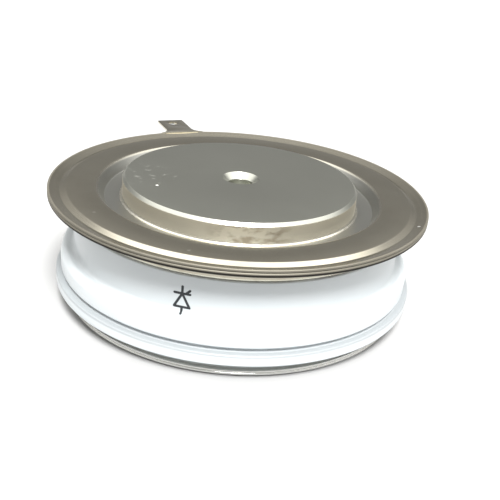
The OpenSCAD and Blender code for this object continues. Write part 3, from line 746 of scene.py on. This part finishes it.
class CAPSULE_OT_symbol(bpy.types.Operator):
    """Circuit symbol printed on the ceramic's wall"""

    bl_idname = "capsule.symbol"
    bl_label = "Printed symbol"

    def execute(self, context):
        s, p = context.scene.capsule_sizes, context.scene.capsule_print
        paint = context.scene.capsule_finishes
        top, tip = p.half_h, p.half_h + p.lead
        strokes = [
            ((0.0, top), (0.0, tip)),
            ((0.0, -top), (0.0, -tip)),
            ((-p.half_w, top), (p.half_w, top)),
            ((-p.half_w, -top), (p.half_w, -top)),
            ((-p.half_w, -top), (0.0, top)),
            ((p.half_w, -top), (0.0, top)),
            ((p.gate_at, top), (p.gate_at + p.gate_run, top + p.gate_run)),
        ]
        bm = bmesh.new()
        for start, end in strokes:
            way = Vector((end[0] - start[0], end[1] - start[1]))
            lie = Matrix.Rotation(math.atan2(way.y, way.x), 4, "Z")
            place = Matrix.Translation((start[0], start[1], 0.0)) @ lie
            along = lie @ Vector((1.0, 0.0, 0.0))
            disc = bmesh.ops.create_circle(bm, cap_ends=True, radius=p.stroke / 2, segments=STROKE_STEPS,
                                           matrix=place)
            ahead = [v for v in disc["verts"] if (v.co - place.translation).dot(along) > 0]
            bmesh.ops.translate(bm, vec=along * way.length, verts=ahead)
        long_edges = [e for e in bm.edges if e.calc_length() > p.stroke]
        bmesh.ops.subdivide_edges(bm, edges=long_edges, cuts=STROKE_CUTS)
        bmesh.ops.solidify(bm, geom=bm.faces[:], thickness=p.ink)
        root_z = foot_of("ceramic_ring") + s.lower_rib_h + s.groove_h + s.upper_rib_h + s.wall_root
        for vert in bm.verts:
            across, high, deep = vert.co
            drop = root_z - p.middle_z - high
            bend = min(max(drop, 0.0) / s.wall_root, math.pi / 2)
            hollow = s.wall_root - abs(deep)
            radius = s.wall_r + s.wall_root - hollow * math.cos(bend)
            z = root_z - min(drop, 0.0) - hollow * math.sin(bend)
            angle = p.direction + across / s.wall_r
            vert.co = around(radius, angle, z)
        ink = plain_finish("printing_ink", list(paint.ink), 0.0, 0.5, 0.7, 0.2)
        finish_piece("printed_symbol", bm, ink)
        return {"FINISHED"}


class CAPSULE_OT_terminal(bpy.types.Operator):
    """Gate tube through the ceramic and the flat gate tab in its slit"""

    bl_idname = "capsule.terminal"
    bl_label = "Gate terminal"

    def execute(self, context):
        s, paint = context.scene.capsule_sizes, context.scene.capsule_finishes
        tin = plain_finish("tinned_brass", list(paint.sheet_light), 1.0, 0.22, 0.36, 0.4)
        bm = bmesh.new()
        bm.from_mesh(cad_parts["gate_tube"].data)
        finish_piece("gate_stem", bm, tin, ["gate_tube"])
        low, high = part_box("gate_tab")
        half = s.tab_w / 2
        side = [(low[1], half, s.fine_edge), (high[1], half, s.ear_corner)]
        bm = flat_lug(side, high[1] - s.ear_hole_inset, s.tab_hole_r, high[2] - low[2], s.fine_edge)
        place = Matrix.Translation((0.0, 0.0, low[2])) @ Matrix.Rotation(math.pi / 2, 4, "Z")
        bmesh.ops.transform(bm, matrix=place, verts=bm.verts)
        finish_piece("gate_lug", bm, tin, ["gate_tab"])
        return {"FINISHED"}


class CAPSULE_OT_inner(bpy.types.Operator):
    """Finishes of the stack and the gate contact inside the capsule"""

    bl_idname = "capsule.inner"
    bl_label = "Inner stack"

    def execute(self, context):
        paint = context.scene.capsule_finishes
        molybdenum = plain_finish("lapped_molybdenum", list(paint.molybdenum), 1.0, 0.35, 0.5, 0.3)
        silicon = plain_finish("polished_silicon", list(paint.silicon), 0.6, 0.08, 0.14, 2.0)
        rubber = plain_finish("silicone_rubber", list(paint.rubber), 0.0, 0.55, 0.7, 0.5)
        plastic = plain_finish("insulating_plastic", list(paint.plastic), 0.0, 0.4, 0.55, 0.8)
        contact = plain_finish("silver_plate", list(paint.contact), 1.0, 0.15, 0.3, 0.5)
        finishes = {
            "anode_disc": molybdenum, "cathode_disc": molybdenum, "wafer": silicon, "edge_seal": rubber,
            "centring_ring": plastic, "gate_cup": plastic, "gate_guide": plastic, "lead_sleeve": plastic,
            "gate_pin": contact, "gate_spring": contact, "gate_lead": contact,
        }
        for name, material in finishes.items():
            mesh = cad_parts[name].data
            mesh.materials.clear()
            mesh.materials.append(material)
        return {"FINISHED"}


class CAPSULE_OT_stage(bpy.types.Operator):
    """Pale floor, soft lights and the camera at the picture's view"""

    bl_idname = "capsule.stage"
    bl_label = "Stage"

    def execute(self, context):
        stage, paint = context.scene.capsule_stage, context.scene.capsule_finishes
        self.add_floor(stage, paint)
        self.add_room(context.scene, stage, paint)
        self.add_lamp(stage)
        self.add_camera(context.scene, stage)
        context.scene.view_settings.view_transform = "Standard"
        return {"FINISHED"}

    def add_floor(self, stage, paint):
        """Pale floor under the capsule."""
        bm = bmesh.new()
        bmesh.ops.create_grid(bm, x_segments=1, y_segments=1, size=stage.floor_w / 2)
        mesh = bpy.data.meshes.new("studio_floor")
        bm.to_mesh(mesh)
        bm.free()
        mesh.materials.append(plain_finish("studio_floor", list(paint.floor), 0.0, 0.75, 0.85, 3.0, 0.03))
        floor = bpy.data.objects.new("studio_floor", mesh)
        bpy.context.scene.collection.objects.link(floor)

    def add_room(self, scene, stage, paint):
        """Room around the stage: a bright arch from side to side, with a dim front and back."""
        world = bpy.data.worlds.new("studio_room")
        world.use_nodes = True
        add = partial(put, world.node_tree)
        way = add("ShaderNodeTexCoord").outputs["Generated"]
        part = add("ShaderNodeSeparateXYZ", {0: way}).outputs
        right = add("ShaderNodeMath", {0: part["X"], 1: stage.right_arch}, operation="MULTIPLY").outputs[0]
        left = add("ShaderNodeMath", {0: part["X"], 1: -stage.left_arch}, operation="MULTIPLY").outputs[0]
        side = add("ShaderNodeMath", {0: right, 1: left}, operation="MAXIMUM").outputs[0]
        along = add("ShaderNodeMath", {0: part["Z"], 1: side}, operation="ADD").outputs[0]
        shades = [(place, (shade, shade, shade, 1.0)) for place, shade in ROOM_SHADES]
        room = add("ShaderNodeValToRGB", {"Fac": along}, shades).outputs["Color"]
        glow = add("ShaderNodeMath", {0: room, 1: stage.room_glow}, operation="MULTIPLY").outputs[0]
        sky = world.node_tree.nodes["Background"]
        sky.inputs["Color"].default_value = paint.room
        world.node_tree.links.new(glow, sky.inputs["Strength"])
        scene.world = world

    def add_lamp(self, stage):
        """Soft distant lamp high in front of the capsule."""
        light = bpy.data.lights.new("front_lamp", "SUN")
        light.angle = stage.lamp_spread
        light.energy = stage.lamp_glow
        way = Vector(around(math.cos(stage.lamp_rise), stage.lamp_turn, math.sin(stage.lamp_rise)))
        lamp = bpy.data.objects.new("front_lamp", light)
        lamp.rotation_euler = (-way).to_track_quat("-Z", "Y").to_euler()
        bpy.context.scene.collection.objects.link(lamp)

    def add_camera(self, scene, stage):
        """Camera at the picture's view, with its axis off the middle as in the picture."""
        camera = bpy.data.cameras.new("picture_camera")
        camera.sensor_width = SENSOR
        camera.lens = stage.focal_px / stage.frame_px * SENSOR
        camera.shift_x = (stage.frame_px / 2 - stage.centre_px[0]) / stage.frame_px
        camera.shift_y = (stage.centre_px[1] - stage.frame_px / 2) / stage.frame_px
        camera.clip_start = 1 * MM
        viewer = bpy.data.objects.new("picture_camera", camera)
        right = Vector(stage.camera_right).normalized()
        up = Vector(stage.camera_up)
        up = (up - right * up.dot(right)).normalized()
        axes = Matrix((right, up, right.cross(up))).transposed()
        viewer.matrix_world = Matrix.Translation(stage.camera_place) @ axes.to_4x4()
        scene.collection.objects.link(viewer)
        scene.camera = viewer


class CAPSULE_PT_panel(bpy.types.Panel):
    """Lists the pieces of the capsule"""

    bl_idname = "CAPSULE_PT_panel"
    bl_label = "Disc thyristor"
    bl_space_type = "VIEW_3D"
    bl_region_type = "UI"
    bl_category = "Capsule"

    def draw(self, context):
        for piece in PIECES:
            self.layout.operator(piece.bl_idname)


PIECES = (CAPSULE_OT_ceramic, CAPSULE_OT_poles, CAPSULE_OT_flanges, CAPSULE_OT_braze, CAPSULE_OT_symbol,
          CAPSULE_OT_terminal, CAPSULE_OT_inner, CAPSULE_OT_stage)
GROUPS = {"capsule_sizes": CapsuleSizes, "capsule_print": PrintSizes, "capsule_wear": WearAndShadeMarks,
          "capsule_finishes": Finishes, "capsule_stage": StageSizes}


def register():
    """Registers the groups, operators and panel."""
    for name, group in GROUPS.items():
        bpy.utils.register_class(group)
        setattr(bpy.types.Scene, name, PointerProperty(type=group))
    for kind in PIECES + (CAPSULE_PT_panel,):
        bpy.utils.register_class(kind)


def unregister():
    """Takes the panel, operators and groups away again."""
    for kind in (CAPSULE_PT_panel,) + PIECES[::-1]:
        bpy.utils.unregister_class(kind)
    for name, group in GROUPS.items():
        delattr(bpy.types.Scene, name)
        bpy.utils.unregister_class(group)


def main():
    """Builds every piece and the stage."""
    register()
    bpy.ops.capsule.ceramic()
    bpy.ops.capsule.poles()
    bpy.ops.capsule.flanges()
    bpy.ops.capsule.braze()
    bpy.ops.capsule.symbol()
    bpy.ops.capsule.terminal()
    bpy.ops.capsule.inner()
    bpy.ops.capsule.stage()


if __name__ == "__main__":
    main()
